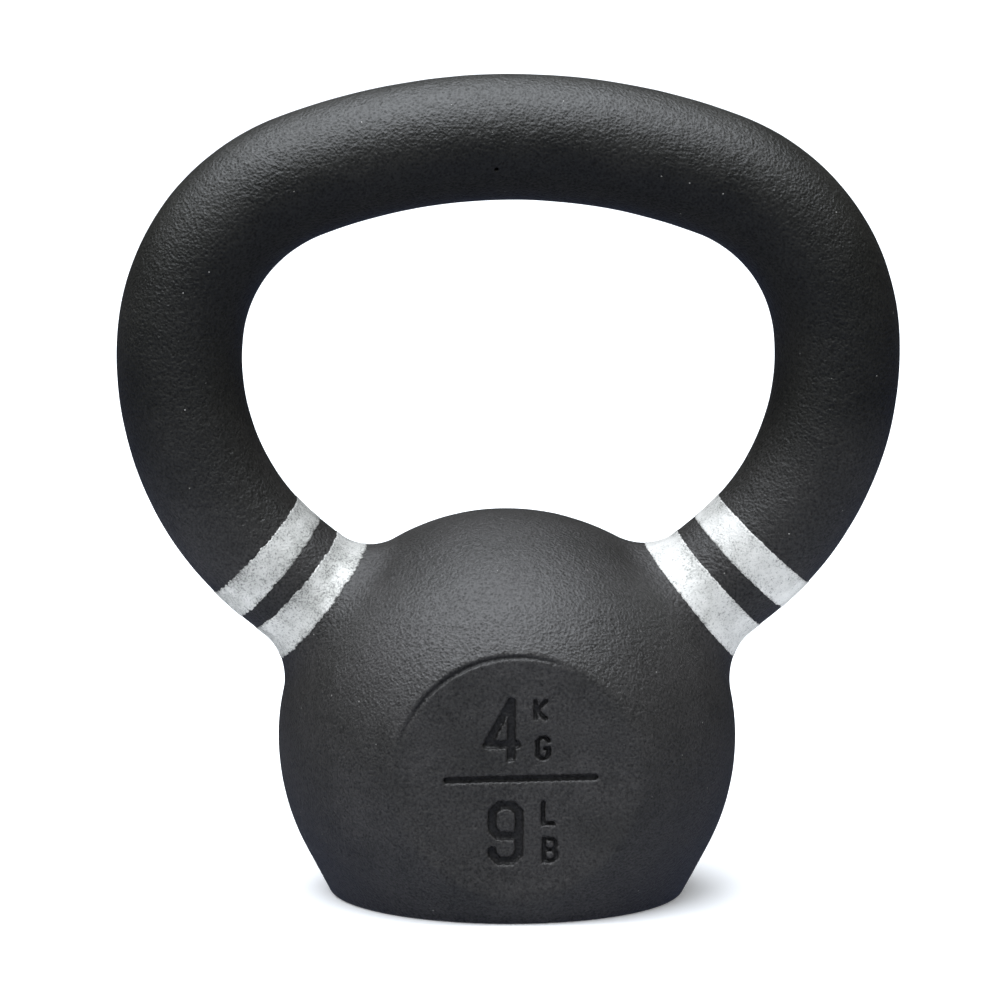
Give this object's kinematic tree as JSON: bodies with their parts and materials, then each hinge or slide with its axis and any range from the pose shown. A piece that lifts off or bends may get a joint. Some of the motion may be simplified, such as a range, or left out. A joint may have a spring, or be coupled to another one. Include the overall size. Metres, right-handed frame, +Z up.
{
  "type": "kettlebell",
  "caption": "Cast-iron kettlebell: a ball with a flat base and flat faces, a thick looped handle, black powder coat and silver rings on the horns.",
  "frame": {"origin": "centre of the flat base, on the ground", "axes": "+Z up through the middle of the handle, +X along the handle's width to the right, +Y from front to back; the front flat with the weight mark faces -Y"},
  "size_m": [0.1616, 0.0808, 0.1707],
  "materials": {
    "iron": "matte",
    "black_coat": "satin",
    "silver_paint": "satin"
  },
  "bodies": {
    "root": {"iron_casting": "iron", "powder_coat": "black_coat", "base_coat": "black_coat", "band_left_upper": "silver_paint", "band_left_lower": "silver_paint", "band_right_upper": "silver_paint", "band_right_lower": "silver_paint"}
  },
  "joints": []
}
